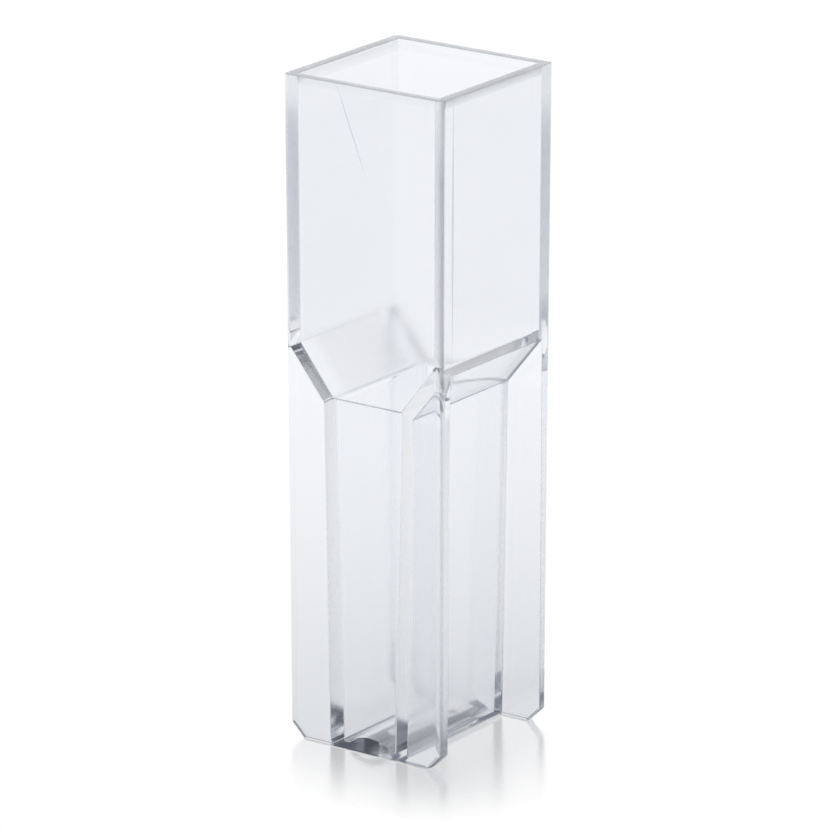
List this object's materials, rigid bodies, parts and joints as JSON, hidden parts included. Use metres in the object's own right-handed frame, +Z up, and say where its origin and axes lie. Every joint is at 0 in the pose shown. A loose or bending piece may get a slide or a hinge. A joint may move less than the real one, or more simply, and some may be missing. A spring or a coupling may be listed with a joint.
{
  "type": "cuvette",
  "caption": "Clear plastic semi-micro cuvette: an open square well narrowing through sloped shoulders to a slim chamber between two flat windows.",
  "frame": {"origin": "middle of the foot, on the surface that the cuvette stands on", "axes": "+Z up through the open mouth; Y along the light path, square to the two windows; X along the windows, across the chamber"},
  "size_m": [0.0126, 0.0126, 0.045],
  "materials": {
    "clear_plastic": "polished"
  },
  "bodies": {
    "root": {"cuvette": "clear_plastic"}
  },
  "joints": []
}
